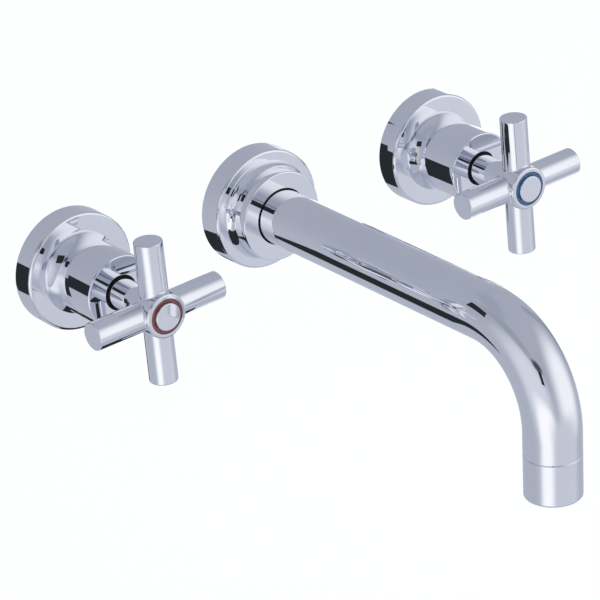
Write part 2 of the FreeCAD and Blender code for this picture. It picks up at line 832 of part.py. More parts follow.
def spout_tube(name):
    """Chromed tube that runs straight from the wall and bends down to the outlet."""
    body = new_body(name)
    path = new_sketch(body, "path", "YZ_Plane")
    turn_start = Vector(0, size("reach - bend_radius"), 0)
    turn_end = Vector(size("-bend_radius"), size("reach"), 0)
    middle_turn = math.radians(45)
    centre = Vector(turn_end.x, turn_start.y, 0)
    corner = centre + Vector(math.cos(middle_turn), math.sin(middle_turn), 0) * size("bend_radius")
    run = path.addGeometry(Part.LineSegment(Vector(0, size(TUBE_BACK), 0), turn_start))
    bend = path.addGeometry(Part.Arc(turn_start, corner, turn_end))
    leg = path.addGeometry(Part.LineSegment(turn_end, Vector(size("-tube_drop"), turn_end.y, 0)))
    forward = path.getPoint(bend, START).distanceToPoint(turn_start) < SAME
    near, far = (START, END) if forward else (END, START)
    path.addConstraint(Sketcher.Constraint("Coincident", run, END, bend, near))
    path.addConstraint(Sketcher.Constraint("Coincident", bend, far, leg, START))
    pin_point(path, run, START, "0", TUBE_BACK, "back")
    pin_point(path, run, END, "0", "reach - bend_radius", "turn_start")
    pin_point(path, leg, START, "-bend_radius", "reach", "turn_end")
    pin_point(path, leg, END, "-tube_drop", "reach", "end")
    set_radius(path, bend, "bend_radius", "bend")
    section = new_sketch(body, "section", "XY_Plane", TUBE_BACK)
    circle(section, "0", "0", "tube_radius", "outside")
    circle(section, "0", "0", "tube_radius - tube_wall", "inside")
    pipe = body.newObject("PartDesign::AdditivePipe", f"{name}_pipe")
    pipe.Profile = section
    pipe.Spine = (path, [])
    doc.recompute()
    bevelled(body, tube_end_edge(body), "seam_bevel")
    return body


def tube_end_edge(body):
    """Name of the outer edge at the tube's cut end."""
    names = []
    for number, edge in enumerate(body.Shape.Edges, start=1):
        low = edge.BoundBox.YMax < size("-tube_drop") + SAME
        if low and abs(edge.Length - 2 * math.pi * size("tube_radius")) < 10 * SAME:
            names.append(f"Edge{number}")
    return names


def hang_on_outlet(body):
    """Place a body drawn about the outlet's upright axis."""
    body.setExpression("Placement.Base.y", bound("-reach"))
    return body


def aerator_shell(name):
    """Chromed outlet shell whose neck screws into the tube."""
    body = turned(name, [
        (AERATOR_BORE, NECK_TOP),
        (AERATOR_NECK, NECK_TOP),
        (AERATOR_NECK, "-tube_drop"),
        ("tube_radius", "-tube_drop"),
        ("tube_radius", TIP),
        (AERATOR_LIP, TIP),
        (AERATOR_LIP, f"{TIP} + aerator_lip_height"),
        (AERATOR_BORE, f"{TIP} + aerator_lip_height"),
    ])
    bevelled(body, rim_edges(body, [("tube_radius", "-tube_drop")]), "seam_bevel")
    rounded(body, rim_edges(body, [("tube_radius", TIP)]), "aerator_edge")
    return body


def flow_restrictor(name):
    """Plastic disc with a ring of metering holes."""
    body = ring(name, "0", INSERT_RADIUS, RESTRICTOR_BACK, NECK_TOP)
    hole = new_sketch(body, "hole", "XY_Plane", NECK_TOP)
    circle(hole, "restrictor_circle", "0", "restrictor_hole")
    around(body, pocketed(body, hole, "restrictor_height"), "restrictor_count")
    return body


def aerator_insert(name):
    """Plastic cup above and skirt below a floor with a ring of jets."""
    inside = f"{INSERT_RADIUS} - insert_wall"
    floor_top = f"{RESTRICTOR_BACK} - insert_floor_at"
    floor_bottom = f"{floor_top} - insert_floor"
    body = turned(name, [
        ("0", floor_bottom),
        (inside, floor_bottom),
        (inside, SCREEN_TOP),
        (INSERT_RADIUS, SCREEN_TOP),
        (INSERT_RADIUS, RESTRICTOR_BACK),
        (inside, RESTRICTOR_BACK),
        (inside, floor_top),
        ("0", floor_top),
    ])
    jet = new_sketch(body, "jet", "XY_Plane", floor_top)
    circle(jet, "insert_jet_circle", "0", "insert_jet")
    around(body, pocketed(body, jet, "insert_floor"), "insert_jet_count")
    return body


def aerator_screen(name):
    """Pierced outlet screen: one hole in the middle and three rings of holes."""
    body = ring(name, "0", INSERT_RADIUS, f"{TIP} + aerator_lip_height", SCREEN_TOP)
    centre = new_sketch(body, "centre_hole", "XY_Plane", SCREEN_TOP)
    circle(centre, "0", "0", "screen_hole")
    pocketed(body, centre, "screen_thickness")
    for row in SCREEN_ROWS:
        hole = new_sketch(body, f"hole{row}", "XY_Plane", SCREEN_TOP)
        circle(hole, f"{row} * ({AERATOR_LIP} - screen_rim) / {len(SCREEN_ROWS)}", "0", "screen_hole")
        around(body, pocketed(body, hole, "screen_thickness"), f"{6 * row}")
    return body


# heights and radii that several spout pieces share
TUBE_BACK = "spout_nut_height + washer_thickness"
TUBE_INSIDE = "(tube_radius - tube_wall)"
ADAPTER_RADIUS = f"({TUBE_INSIDE} - solder_gap)"
NIPPLE_RADIUS = f"({ADAPTER_RADIUS} - adapter_wall - thread_gap)"
NIPPLE_BORE = f"({NIPPLE_RADIUS} - nipple_wall)"
COLLAR_RING_RADIUS = "tube_radius + slip_gap + collar_ring_section"
NECK_TOP = "-tube_drop + aerator_neck"
TIP = "-tube_drop - aerator_length"
RESTRICTOR_BACK = f"{NECK_TOP} - restrictor_height"
SCREEN_TOP = f"{TIP} + aerator_lip_height + screen_thickness"
SCREEN_ROWS = (1, 2, 3)
AERATOR_NECK = f"({TUBE_INSIDE} - thread_gap)"
AERATOR_BORE = f"({AERATOR_NECK} - aerator_wall)"
AERATOR_LIP = f"({AERATOR_BORE} - aerator_ledge)"
INSERT_RADIUS = f"({AERATOR_BORE} - insert_gap)"


def spout_station():
    """Every piece of the spout, from the wall outwards."""
    adapter_bore = f"{NIPPLE_RADIUS} + thread_gap"
    washer_rim = f"{TUBE_INSIDE} - insert_gap"
    facing = [
        spout_shank("spout_shank"),
        ring("shank_washer", adapter_bore, "tube_radius - washer_inset", "spout_nut_height", TUBE_BACK),
        ring("spout_adapter", adapter_bore, ADAPTER_RADIUS, TUBE_BACK, f"{TUBE_BACK} + adapter_length"),
        hollow_flange("spout_flange", "spout_flange_radius", "spout_flange_front", "spout_flange_edge",
                      "collar_spigot + thread_gap"),
        wall_seal("spout_wall_seal", "spout_flange_radius"),
        spout_collar("spout_collar"),
        o_rings("collar_o_ring", COLLAR_RING_RADIUS, "collar_ring_section", ["collar_front - collar_ring_setback"]),
        spout_tube("spout_tube"),
    ]
    hanging = [
        aerator_shell("aerator_shell"),
        ring("aerator_washer", f"{washer_rim} - aerator_washer_width", washer_rim,
             NECK_TOP, f"{NECK_TOP} + aerator_washer_height"),
        flow_restrictor("flow_restrictor"),
        aerator_insert("aerator_insert"),
        aerator_screen("aerator_screen"),
    ]
    placed = [face_room(piece) for piece in facing] + [hang_on_outlet(piece) for piece in hanging]
    return placed + [collar_set_screw("collar_set_screw")]


def check_and_write(pieces):
    """Stop on any failed feature or broken shape, then write each piece to its own file."""
    doc.recompute()
    for item in doc.Objects:
        if "Invalid" in item.State or "Error" in item.State:
            raise ValueError(f"{item.Name} did not compute: {item.State}")
    for piece in pieces:
        if piece.Shape.isNull() or not piece.Shape.isValid():
            raise ValueError(f"{piece.Label} has no sound shape")
    os.makedirs("parts", exist_ok=True)
    for piece in pieces:
        piece.Shape.exportStep(f"parts/{piece.Label}.step")
    print(f"{len(pieces)} pieces written")


fill_sheet()
check_and_write(handle_station("hot", -1) + spout_station() + handle_station("cold", 1))
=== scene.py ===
import json
import math

import bmesh
import bpy
from mathutils import Matrix, Vector


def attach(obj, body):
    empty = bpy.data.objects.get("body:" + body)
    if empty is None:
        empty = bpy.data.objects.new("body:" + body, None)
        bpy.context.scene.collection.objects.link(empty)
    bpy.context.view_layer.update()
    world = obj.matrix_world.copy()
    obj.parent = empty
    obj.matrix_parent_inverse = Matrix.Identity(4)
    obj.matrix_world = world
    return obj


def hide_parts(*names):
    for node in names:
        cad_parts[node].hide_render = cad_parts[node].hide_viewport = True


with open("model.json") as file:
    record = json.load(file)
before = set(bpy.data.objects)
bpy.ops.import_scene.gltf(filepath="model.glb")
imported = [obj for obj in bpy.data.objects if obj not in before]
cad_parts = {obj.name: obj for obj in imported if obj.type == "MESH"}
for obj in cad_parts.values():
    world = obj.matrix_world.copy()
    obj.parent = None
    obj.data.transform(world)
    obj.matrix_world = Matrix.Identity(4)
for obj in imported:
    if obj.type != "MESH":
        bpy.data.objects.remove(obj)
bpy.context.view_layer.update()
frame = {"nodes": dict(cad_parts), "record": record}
mm = 0.001
weld = 1e-4                                     # corners nearer than this, in millimetres, become one
print("frame loaded,", len(frame["nodes"]), "nodes")

photoCamera = {
    "azimuth": -36.684, "elevation": 24.295, "roll": -2.702,    # degrees, azimuth 0 looks at the front
    "distance": 1.62208, "aside": 0.022041, "raised": -0.044467,
    "lens": 214.337, "sensor": 36, "clip": (0.05, 50),
}


def facing(azimuth, elevation):
    turn, lift = math.radians(azimuth), math.radians(elevation)
    return Vector((math.sin(turn) * math.cos(lift), -math.cos(turn) * math.cos(lift), math.sin(lift)))


def makeCamera(shot):
    back = facing(shot["azimuth"], shot["elevation"])
    level = Vector((0, 0, 1)).cross(back).normalized()
    upright = back.cross(level)
    roll = math.radians(shot["roll"])
    right = level * math.cos(roll) + upright * math.sin(roll)
    up = upright * math.cos(roll) - level * math.sin(roll)
    camera = bpy.data.objects.new("camera", bpy.data.cameras.new("camera"))
    camera.data.sensor_width = shot["sensor"]
    camera.data.lens = shot["lens"]
    camera.data.clip_start, camera.data.clip_end = shot["clip"]
    place = back * shot["distance"] + right * shot["aside"] + up * shot["raised"]
    camera.matrix_world = Matrix.Translation(place) @ Matrix((right, up, back)).transposed().to_4x4()
    bpy.context.collection.objects.link(camera)
    bpy.context.scene.camera = camera


makeCamera(photoCamera)
bpy.context.scene.view_settings.view_transform = "Standard"
print("camera placed")


class Signal:                                   # one socket, so that sums on it add their Math nodes
    def __init__(self, graph, socket):
        self.graph, self.socket = graph, socket

    def __add__(self, other):
        return self.graph.maths("ADD", self, other)

    def __radd__(self, other):
        return self.graph.maths("ADD", other, self)

    def __mul__(self, other):
        return self.graph.maths("MULTIPLY", self, other)

    def __rmul__(self, other):
        return self.graph.maths("MULTIPLY", other, self)


class Graph:
    def __init__(self, owner):
        owner.use_nodes = True
        self.owner, self.tree = owner, owner.node_tree
        self.tree.nodes.clear()

    def add(self, kind, settings=None, inputs=None, output=0):
        node = self.tree.nodes.new("ShaderNode" + kind)
        for name, value in (settings or {}).items():
            setattr(node, name, value)
        for name, value in (inputs or {}).items():
            self.feed(node.inputs[name], value)
        return Signal(self, node.outputs[output]) if len(node.outputs) else node

    def feed(self, socket, value):
        if isinstance(value, Signal):
            self.tree.links.new(value.socket, socket)
        elif isinstance(value, tuple) and socket.type == "RGBA":
            socket.default_value = (*value, 1)
        else:
            socket.default_value = value

    def maths(self, operation, first, second):
        return self.add("Math", {"operation": operation}, {0: first, 1: second})

    def along(self, direction, way):
        return self.add("VectorMath", {"operation": "DOT_PRODUCT"}, {0: direction, 1: way}, "Value")

    def mix(self, factor, first, second):       # 6, 7 and 2 are the Mix node's colour sockets
        return self.add("Mix", {"data_type": "RGBA"}, {0: factor, 6: first, 7: second}, 2)

    def noise(self, place, scale, detail=4.0, roughness=0.55):
        inputs = {"Vector": place, "Scale": scale, "Detail": detail, "Roughness": roughness}
        return self.add("TexNoise", None, inputs)

    def fitted(self, value, low, high):
        inputs = {"Value": value, "From Min": low, "From Max": high}
        return self.add("MapRange", {"interpolation_type": "SMOOTHSTEP"}, inputs)

    def place(self, centre=(0, 0, 0), stretch=(1, 1, 1)):
        here = self.add("TexCoord", output="Object")
        shift = tuple(-c * s for c, s in zip(centre, stretch))
        return self.add("Mapping", None, {"Vector": here, "Location": shift, "Scale": stretch})

    def bump(self, height, distance, strength=1.0):
        return self.add("Bump", None, {"Height": height, "Distance": distance, "Strength": strength})

    def surface(self, inputs):
        shader = self.add("BsdfPrincipled", None, inputs)
        self.add("OutputMaterial", None, {"Surface": shader})


def chromeFinish():
    look = {
        "tone": (0.80, 0.815, 0.865), "deep": (0.77, 0.785, 0.84), "roughness": 0.018, "film": 0.04,
        "cloudScale": 38.0, "filmScale": 210.0, "rippleScale": 26.0, "ripple": 0.00003,
    }
    material = bpy.data.materials.new("polishedChrome")
    graph = Graph(material)
    here = graph.place()
    cloud = graph.noise(here, look["cloudScale"], 3.0)
    film = graph.noise(here, look["filmScale"], 5.0, 0.65)
    dry = graph.fitted(film * 0.6 + cloud * 0.4, 0.52, 0.74)
    ripple = graph.noise(here, look["rippleScale"], 1.0, 0.4)
    graph.surface({
        "Base Color": graph.mix(graph.fitted(cloud, 0.3, 0.7), look["tone"], look["deep"]),
        "Metallic": 1.0,
        "Roughness": dry * look["film"] + look["roughness"],
        "Normal": graph.bump(ripple, look["ripple"], 0.35),
    })
    return material


def brassFinish():
    look = {
        "bright": (0.80, 0.59, 0.29), "dull": (0.62, 0.43, 0.20), "roughness": 0.2, "stainScale": 90.0,
        "groove": 0.00004, "grooves": (60, 2600, 60),           # fine along the axis, long round it
    }
    material = bpy.data.materials.new("machinedBrass")
    graph = Graph(material)
    here = graph.place()
    stain = graph.fitted(graph.noise(here, look["stainScale"], 5.0, 0.6), 0.35, 0.75)
    lathe = graph.noise(graph.place(stretch=look["grooves"]), 1.0, 2.0, 0.5)
    graph.surface({
        "Base Color": graph.mix(stain, look["bright"], look["dull"]),
        "Metallic": 1.0,
        "Roughness": stain * 0.18 + lathe * 0.1 + look["roughness"],
        "Normal": graph.bump(lathe, look["groove"], 0.5),
    })
    return material


def steelFinish():
    look = {
        "bright": (0.60, 0.60, 0.61), "dull": (0.50, 0.50, 0.52), "roughness": 0.2, "grainScale": 700.0,
        "relief": 0.00002,
    }
    material = bpy.data.materials.new("stainlessSteel")
    graph = Graph(material)
    here = graph.place()
    grain = graph.noise(here, look["grainScale"], 3.0)
    graph.surface({
        "Base Color": graph.mix(grain, look["bright"], look["dull"]),
        "Metallic": 1.0,
        "Roughness": grain * 0.16 + look["roughness"],
        "Normal": graph.bump(grain, look["relief"], 0.4),
    })
    return material


# dark and pale tone, scale of the grain, roughness and the depth of the relief in metres
def softFinish(name, dark, pale, scale, rough, relief, pits=False, sheen=0.5):
    material = bpy.data.materials.new(name)
    graph = Graph(material)
    here = graph.place()
    grain = graph.noise(here, scale, 4.0, 0.6)
    height = grain
    if pits:
        cells = graph.add("TexVoronoi", {"feature": "F1"}, {"Vector": here, "Scale": scale * 1.6})
        height = grain * 0.3 + graph.fitted(cells, 0.0, 0.5)
    graph.surface({
        "Base Color": graph.mix(graph.fitted(grain, 0.3, 0.75), dark, pale),
        "Roughness": grain * 0.16 + rough,
        "Specular IOR Level": sheen,
        "Normal": graph.bump(height, relief, 0.6),
    })
    return material


def enamelFinish(name, deep, bright):
    look = {"flowScale": 160.0, "roughness": 0.16, "coat": 0.5, "relief": 0.00003}
    material = bpy.data.materials.new(name)
    graph = Graph(material)
    here = graph.place()
    flow = graph.noise(here, look["flowScale"], 3.0)
    graph.surface({
        "Base Color": graph.mix(graph.fitted(flow, 0.3, 0.7), deep, bright),
        "Roughness": flow * 0.1 + look["roughness"],
        "Coat Weight": look["coat"],
        "Normal": graph.bump(flow, look["relief"], 0.3),
    })
    return material


finishes = {
    "polished_chrome": chromeFinish(),
    "brass": brassFinish(),
    "spring_steel": steelFinish(),
    "rubber": softFinish("blackRubber", (0.012, 0.012, 0.013), (0.03, 0.03, 0.032), 900.0, 0.42, 0.00003),
    "foam_rubber": softFinish("foamRubber", (0.05, 0.05, 0.052), (0.11, 0.11, 0.115), 700.0, 0.72, 0.0002,
                              pits=True),
    "ceramic": softFinish("lappedCeramic", (0.80, 0.79, 0.76), (0.88, 0.87, 0.85), 500.0, 0.12, 0.00001),
    "black_plastic": softFinish("blackAcetal", (0.004, 0.004, 0.005), (0.011, 0.011, 0.012), 650.0, 0.34,
                                0.00002, sheen=0.18),
    "white_plastic": softFinish("whitePlastic", (0.72, 0.72, 0.69), (0.82, 0.82, 0.79), 420.0, 0.34, 0.00003),
    "fibre": softFinish("pressedFibre", (0.22, 0.09, 0.055), (0.40, 0.19, 0.12), 800.0, 0.66, 0.00006),
    "red_enamel": enamelFinish("redEnamel", (0.21, 0.05, 0.05), (0.30, 0.075, 0.07)),
    "blue_enamel": enamelFinish("blueEnamel", (0.04, 0.12, 0.26), (0.06, 0.165, 0.34)),
}
for part in frame["record"]["subparts"]:
    node = frame["nodes"][part["node"]]
    for place in node.material_slots:
        place.material = finishes[part["material_slot"]]
print("finishes made,", len(finishes))

# all sizes of pieces are in millimetres; the stations' axes stand this far along the wall
stations = {"hot": -101.6, "spout": 0.0, "cold": 101.6}
quarterTurn = Matrix.Rotation(math.radians(90), 3, "X")


def picked(geom, kind):
    return [item for item in geom if isinstance(item, kind)]


def drawProfile(mesh, corners, arcs=None, arcSteps=20):
    # corners are (radius, distance from the wall); arcs gives the radius of the side that leaves a corner
    arcs = arcs or {}
    points = [Vector((radius, -away, 0)) for radius, away in corners]
    first = tip = mesh.verts.new(points[0])
    for number, point in enumerate(points):
        following = points[(number + 1) % len(points)]
        if number in arcs:
            chord = following - point
            half = chord.length / 2
            rise = math.sqrt(arcs[number] ** 2 - half ** 2)
            inwards = Vector((chord.y, -chord.x, 0)).normalized()
            centre = (point + following) / 2 + inwards * -rise
            angle = 2 * math.asin(half / arcs[number])
            grown = bmesh.ops.spin(mesh, geom=[tip], cent=centre, axis=(0, 0, 1), angle=angle, steps=arcSteps)
            tip = picked(grown["geom_last"], bmesh.types.BMVert)[0]
            if (tip.co - following).length > 10 * weld:
                print("arc misses its corner by", (tip.co - following).length)
            tip.co = following
        elif number < len(points) - 1:
            grown = bmesh.ops.extrude_vert_indiv(mesh, verts=[tip])
            tip = grown["verts"][0]
            tip.co = following
    if max(tip.co.x, first.co.x) > 0:           # a solid piece needs no edge along its axis
        mesh.edges.new((tip, first))


def spunRound(mesh, steps):
    bmesh.ops.spin(mesh, geom=mesh.verts[:] + mesh.edges[:], cent=(0, 0, 0), axis=(0, 1, 0),
                   angle=math.tau, steps=steps, use_merge=True)
    bmesh.ops.remove_doubles(mesh, verts=mesh.verts[:], dist=weld)
    bmesh.ops.recalc_face_normals(mesh, faces=mesh.faces[:])


def ringEdges(mesh, radius, away):
    def onRing(corner):
        return abs(math.hypot(corner.co.x, corner.co.z) - radius) < weld and abs(corner.co.y + away) < weld

    return [edge for edge in mesh.edges if all(onRing(corner) for corner in edge.verts)]


def turnedPiece(name, corners, steps, arcs=None, bevels=(), centre=0.0, hung=False):
    mesh = bmesh.new()
    drawProfile(mesh, corners, arcs)
    spunRound(mesh, steps)
    for radius, away, width, segments in bevels:
        bmesh.ops.bevel(mesh, geom=ringEdges(mesh, radius, away), affect="EDGES", offset=width,
                        offset_type="OFFSET", segments=segments, profile=0.5, material=-1)
    if hung:                                    # about the outlet's upright axis
        bmesh.ops.rotate(mesh, verts=mesh.verts[:], cent=(0, 0, 0), matrix=quarterTurn)
        bmesh.ops.translate(mesh, vec=(0, -spout["reach"], 0), verts=mesh.verts[:])
    return finishedPiece(name, mesh, centre)


def finishedPiece(name, mesh, centre=0.0, sharp=35.0):
    # takes the mesh to metres and to its station; edges sharper than this angle stay sharp
    bmesh.ops.scale(mesh, vec=(mm, mm, mm), verts=mesh.verts[:])
    bmesh.ops.translate(mesh, vec=(centre * mm, 0, 0), verts=mesh.verts[:])
    data = bpy.data.meshes.new(name)
    mesh.to_mesh(data)
    mesh.free()
    data.polygons.foreach_set("use_smooth", [True] * len(data.polygons))
    data.set_sharp_from_angle(angle=math.radians(sharp))
    piece = bpy.data.objects.new(name, data)
    bpy.context.collection.objects.link(piece)
    weighting = piece.modifiers.new("flatFaces", "WEIGHTED_NORMAL")
    weighting.weight = 100
    weighting.keep_sharp = True
    return piece


def standsFor(piece, body, node, slot):
    piece.data.materials.append(finishes[slot])
    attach(piece, body)
    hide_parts(node)
    return piece


# wall flanges: two under the handles, a wider and deeper one under the spout
flanges = {
    "hot": {"radius": 27.0, "front": 11.1, "edge": 1.25, "hole": 16.05},
    "spout": {"radius": 28.0, "front": 11.8, "edge": 1.2, "hole": 19.05},
    "cold": {"radius": 27.0, "front": 11.1, "edge": 1.25, "hole": 16.05},
    "wall": 2.0, "plate": 2.5, "ledge": 1.5, "seat": 2.2, "footEdge": 0.15, "around": 192,
}
for station in stations:
    size = flanges[station]
    inside = size["radius"] - flanges["wall"]
    ledge, back = inside - flanges["ledge"], size["front"] - flanges["plate"]
    flange = turnedPiece(station + "WallFlange", [
        (inside, 0), (size["radius"], 0), (size["radius"], size["front"]), (size["hole"], size["front"]),
        (size["hole"], back), (ledge, back), (ledge, flanges["seat"]), (inside, flanges["seat"]),
    ], bevels=[(size["radius"], size["front"], size["edge"], 6), (size["radius"], 0, flanges["footEdge"], 2)],
        steps=flanges["around"], centre=stations[station])
    standsFor(flange, "wall_set", station + "_flange", "polished_chrome")
print("wall flanges turned")


# valve sleeves with their flared foot and polished front
sleeve = {
    "radius": 17.0, "front": 41.5, "edge": 0.7, "wall": 2.2, "cap": 3.0, "mouth": 8.1, "mouthEdge": 0.2,
    "back": 5.0, "threadEnd": 11.6, "bore": 12.55, "spigot": 16.0, "seat": 11.1,
    "lip": 18.8, "lipTop": 12.0, "lipEdge": 0.45, "flareEnd": 19.9, "around": 192,
}
step, length = sleeve["lip"] - sleeve["radius"], sleeve["flareEnd"] - sleeve["lipTop"]
for station in ("hot", "cold"):
    inside, cap = sleeve["radius"] - sleeve["wall"], sleeve["front"] - sleeve["cap"]
    cover = turnedPiece(station + "ValveSleeve", [
        (sleeve["bore"], sleeve["back"]), (sleeve["spigot"], sleeve["back"]),
        (sleeve["spigot"], sleeve["seat"]), (sleeve["lip"], sleeve["seat"]),
        (sleeve["lip"], sleeve["lipTop"]), (sleeve["radius"], sleeve["flareEnd"]),
        (sleeve["radius"], sleeve["front"]), (sleeve["mouth"], sleeve["front"]),
        (sleeve["mouth"], cap), (inside, cap), (inside, sleeve["threadEnd"]),
        (sleeve["bore"], sleeve["threadEnd"]),
    ], arcs={4: (length ** 2 + step ** 2) / (2 * step)},
        bevels=[(sleeve["radius"], sleeve["front"], sleeve["edge"], 5),
                (sleeve["lip"], sleeve["lipTop"], sleeve["lipEdge"], 3),
                (sleeve["mouth"], sleeve["front"], sleeve["mouthEdge"], 2)],
        steps=sleeve["around"], centre=stations[station])
    standsFor(cover, "wall_set", station + "_sleeve", "polished_chrome")
print("valve sleeves turned")

spout = {
    "radius": 12.7, "wall": 1.6, "back": 6.5, "reach": 205.0, "bend": 41.2, "drop": 51.3, "seam": 0.3,
    "around": 128, "bendSteps": 90,
}


def lengthened(mesh, ring, way):
    # draws a ring of edges out along a way and gives the new ring
    drawn = bmesh.ops.extrude_edge_only(mesh, edges=ring)["geom"]
    corners, edges = picked(drawn, bmesh.types.BMVert), picked(drawn, bmesh.types.BMEdge)
    bmesh.ops.translate(mesh, verts=corners, vec=way)
    return corners + [edge for edge in edges if all(corner in corners for corner in edge.verts)]


def onCut(corner):
    out = math.hypot(corner.co.x, corner.co.y + spout["reach"])
    return abs(corner.co.z + spout["drop"]) < 10 * weld and abs(out - spout["radius"]) < 100 * weld


mesh = bmesh.new()
turnStart = spout["reach"] - spout["bend"]
bmesh.ops.create_circle(mesh, segments=spout["around"], radius=spout["radius"])
bmesh.ops.rotate(mesh, verts=mesh.verts[:], cent=(0, 0, 0), matrix=quarterTurn)
bmesh.ops.translate(mesh, verts=mesh.verts[:], vec=(0, -spout["back"], 0))
mouth = lengthened(mesh, mesh.edges[:], (0, spout["back"] - turnStart, 0))
turned = bmesh.ops.spin(mesh, geom=mouth, cent=(0, -turnStart, -spout["bend"]), axis=(1, 0, 0),
                        angle=math.radians(90), steps=spout["bendSteps"])["geom_last"]
lengthened(mesh, picked(turned, bmesh.types.BMEdge), (0, 0, spout["bend"] - spout["drop"]))
bmesh.ops.remove_doubles(mesh, verts=mesh.verts[:], dist=weld)
bmesh.ops.recalc_face_normals(mesh, faces=mesh.faces[:])
topFace = max(mesh.faces, key=lambda face: face.calc_center_median().z)
if topFace.normal.z < 0:                        # the skin is still open, so its outside may be wrong
    bmesh.ops.reverse_faces(mesh, faces=mesh.faces[:])
bmesh.ops.solidify(mesh, geom=mesh.faces[:], thickness=spout["wall"])
cutEdge = [edge for edge in mesh.edges if all(onCut(corner) for corner in edge.verts)]
bmesh.ops.bevel(mesh, geom=cutEdge, affect="EDGES", offset=spout["seam"], offset_type="OFFSET", segments=1,
                profile=0.5, material=-1)
standsFor(finishedPiece("bentSpoutTube", mesh), "wall_set", "spout_tube", "polished_chrome")
print("spout tube bent,", len(cutEdge), "edges at its cut end")

aerator = {
    "length": 19.6, "edge": 1.2, "neck": 7.0, "neckRadius": 11.05, "bore": 9.8, "lip": 8.8, "lipHeight": 1.6,
    "lipEdge": 0.15,
}
joint, tip = spout["drop"], spout["drop"] + aerator["length"]
shell = turnedPiece("aeratorShell", [
    (aerator["bore"], joint - aerator["neck"]), (aerator["neckRadius"], joint - aerator["neck"]),
    (aerator["neckRadius"], joint), (spout["radius"], joint), (spout["radius"], tip),
    (aerator["lip"], tip), (aerator["lip"], tip - aerator["lipHeight"]),
    (aerator["bore"], tip - aerator["lipHeight"]),
], bevels=[(spout["radius"], joint, spout["seam"], 1), (spout["radius"], tip, aerator["edge"], 6),
           (aerator["lip"], tip, aerator["lipEdge"], 2)], steps=spout["around"], hung=True)
standsFor(shell, "wall_set", "aerator_shell", "polished_chrome")
print("aerator shell turned")

index = {
    "ringInner": 6.3, "ringOuter": 8.0, "floor": 73.8, "ringFront": 75.0, "ringEdge": 0.2,
    "button": 6.2, "front": 76.4, "edge": 0.45, "plug": 4.25, "plugBack": 67.5, "around": 96,
}
for station, colour in (("hot", "red_enamel"), ("cold", "blue_enamel")):
    ring = turnedPiece(station + "IndexRing", [
        (index["ringInner"], index["floor"]), (index["ringOuter"], index["floor"]),
        (index["ringOuter"], index["ringFront"]), (index["ringInner"], index["ringFront"]),
    ], bevels=[(index[rim], index["ringFront"], index["ringEdge"], 3) for rim in ("ringOuter", "ringInner")],
        steps=index["around"], centre=stations[station])
    standsFor(ring, station + "_handle", station + "_index_ring", colour)
    button = turnedPiece(station + "IndexButton", [
        (0, index["plugBack"]), (index["plug"], index["plugBack"]), (index["plug"], index["floor"]),
        (index["button"], index["floor"]), (index["button"], index["front"]), (0, index["front"]),
    ], bevels=[(index["button"], index["front"], index["edge"], 5)],
        steps=index["around"], centre=stations[station])
    standsFor(button, station + "_handle", station + "_index_button", "polished_chrome")
print("index rings and buttons turned")

shank = {
    "crest": 10.48, "root": 9.32, "length": 15.0, "lead": 1.2, "pitch": 1.814, "turns": 7.5, "steps": 56,
    "flank": 0.44, "flat": 0.08,                # half width of the ridge at foot and crest, in pitches
    "sunk": 0.1,                                # how far the ridge's foot stands in the shank
    "ahead": 0.01, "beyond": 0.1,               # slack in finding the shank's corners
    "merge": 1e-6,                              # in metres, as the solid is
}


def drawnIn(corner, radius, limit):
    corner.co.x, corner.co.z = corner.co.x * limit / radius, corner.co.z * limit / radius


def threadRidge(mesh, size):
    half, flat = size["pitch"] * size["flank"], size["pitch"] * size["flat"]
    foot, start = size["root"] - size["sunk"], size["length"] - half
    profile = ((foot, start + half), (size["crest"], start + flat),
               (size["crest"], start - flat), (foot, start - half))
    section = [mesh.verts.new((radius, away, 0)) for radius, away in profile]
    face = mesh.faces.new(section)
    steps = int(size["turns"] * size["steps"])
    bmesh.ops.spin(mesh, geom=[face] + face.edges[:] + section, cent=(0, 0, 0), axis=(0, 1, 0),
                   dvec=(0, -size["pitch"] / size["steps"], 0), angle=math.tau * size["turns"], steps=steps)
    for corner in mesh.verts:                   # the lead bevel takes the first turn down
        radius = math.hypot(corner.co.x, corner.co.z)
        limit = size["crest"] - max(0.0, corner.co.y - size["length"] + size["lead"])
        if radius > limit:
            drawnIn(corner, radius, limit)


def threadedShank(name, node, station):
    # the shank of the solid is turned down to the root of its thread, and the ridge is wound on it
    turned = bmesh.new()
    turned.from_mesh(frame["nodes"][node].data)
    bmesh.ops.remove_doubles(turned, verts=turned.verts[:], dist=shank["merge"])
    bmesh.ops.translate(turned, vec=(-stations[station] * mm, 0, 0), verts=turned.verts[:])
    bmesh.ops.scale(turned, vec=(1 / mm, 1 / mm, 1 / mm), verts=turned.verts[:])
    for corner in turned.verts:
        radius = math.hypot(corner.co.x, corner.co.z)
        if corner.co.y > -shank["ahead"] and shank["root"] < radius < shank["crest"] + shank["beyond"]:
            drawnIn(corner, radius, shank["root"])
    ridge = bmesh.new()
    threadRidge(ridge, shank)
    bmesh.ops.recalc_face_normals(ridge, faces=ridge.faces[:])
    wound = bpy.data.meshes.new("ridge")
    ridge.to_mesh(wound)
    ridge.free()
    turned.from_mesh(wound)
    standsFor(finishedPiece(name, turned, stations[station], 25.0), "wall_set", node, "brass")


for station, node in (("hot", "hot_valve_body"), ("spout", "spout_shank"), ("cold", "cold_valve_body")):
    threadedShank(station + "ThreadedShank", node, station)
print("shank threads cut")


